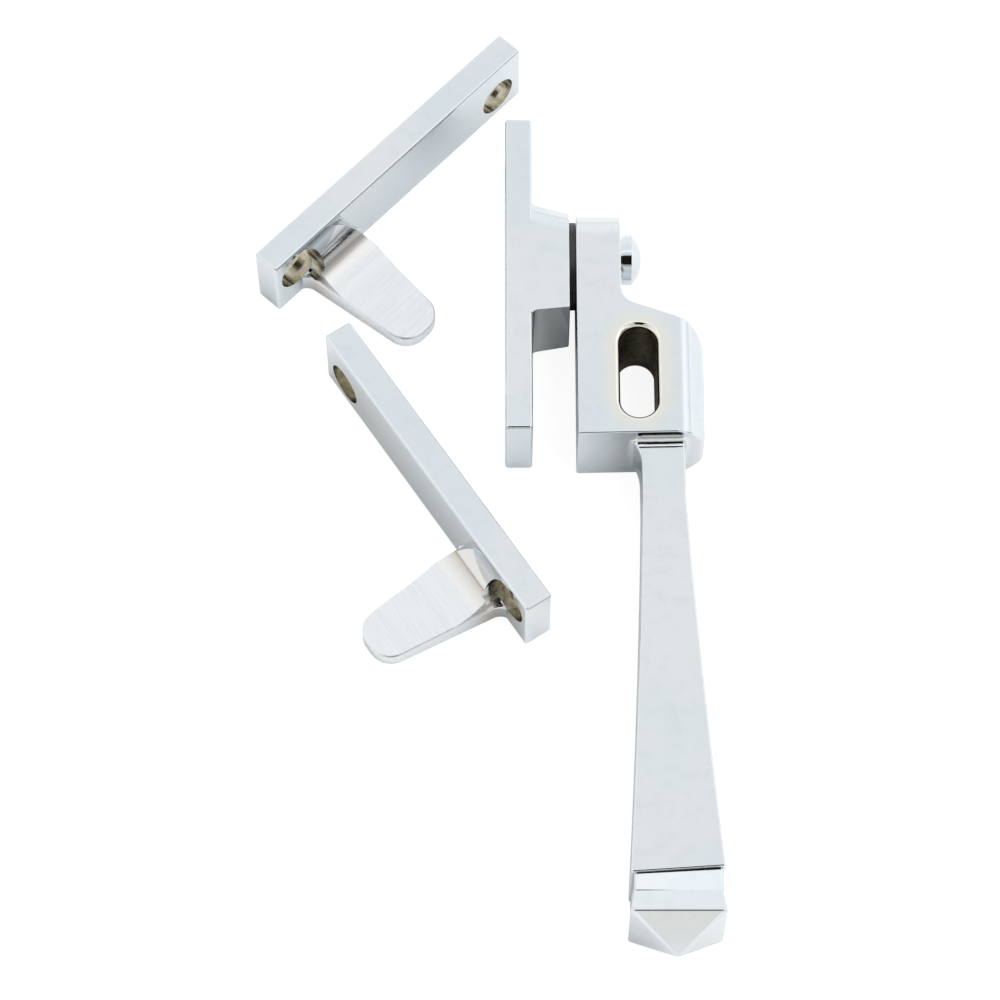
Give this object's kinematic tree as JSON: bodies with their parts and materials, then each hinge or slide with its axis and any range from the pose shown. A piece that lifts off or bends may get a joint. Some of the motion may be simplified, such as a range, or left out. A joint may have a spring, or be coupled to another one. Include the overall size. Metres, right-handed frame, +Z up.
{
  "type": "locking casement window fastener",
  "caption": "Locking casement window fastener: a plate with a pivot boss, a swinging lever handle with a vent slot, a locking screw and handed keeper plates with tongues.",
  "frame": {"origin": "middle of the whole set's box, on the surface it lies on", "axes": "+Z up from that surface, +Y from the handle's tip towards the pivot, +X from the window towards the room"},
  "size_m": [0.0676, 0.1472, 0.013],
  "materials": {
    "chrome": "bright chrome plate, hand polished",
    "steel": "turned steel",
    "nylon": "matte black"
  },
  "bodies": {
    "base": {"mounting_plate": "chrome", "pivot_spindle": "steel", "friction_washer": "nylon"},
    "lever": {"lever_handle": "chrome"},
    "clamp": {"clamp_washer": "chrome"},
    "screw": {"lock_screw": "chrome"},
    "keeper_left": {"keeper_left": "chrome"},
    "keeper_right": {"keeper_right": "chrome"}
  },
  "joints": [
    {"name": "lever_swing", "type": "hinge", "parent": "base", "child": "lever", "pos_m": [0.00351, 0.03666, 0.0065], "axis": [-1, 0, 0], "range_deg": [0, 180]},
    {"name": "clamp_travel", "type": "slide", "parent": "base", "child": "clamp", "axis": [1, 0, 0], "range_m": [0, 0.00035]},
    {"name": "lock_screw_turn", "type": "hinge", "parent": "clamp", "child": "screw", "pos_m": [0.00351, 0.03666, 0.0065], "axis": [1, 0, 0], "range_deg": [0, 180]},
    {"name": "keeper_left_lift", "type": "slide", "parent": "base", "child": "keeper_left", "axis": [0, 0, 1], "range_m": [0, 0.03]},
    {"name": "keeper_right_lift", "type": "slide", "parent": "base", "child": "keeper_right", "axis": [0, 0, 1], "range_m": [0, 0.03]}
  ],
  "couplings": [
    {"joint": "lock_screw_turn", "follows": "clamp_travel", "rad_per_m": 8970}
  ]
}
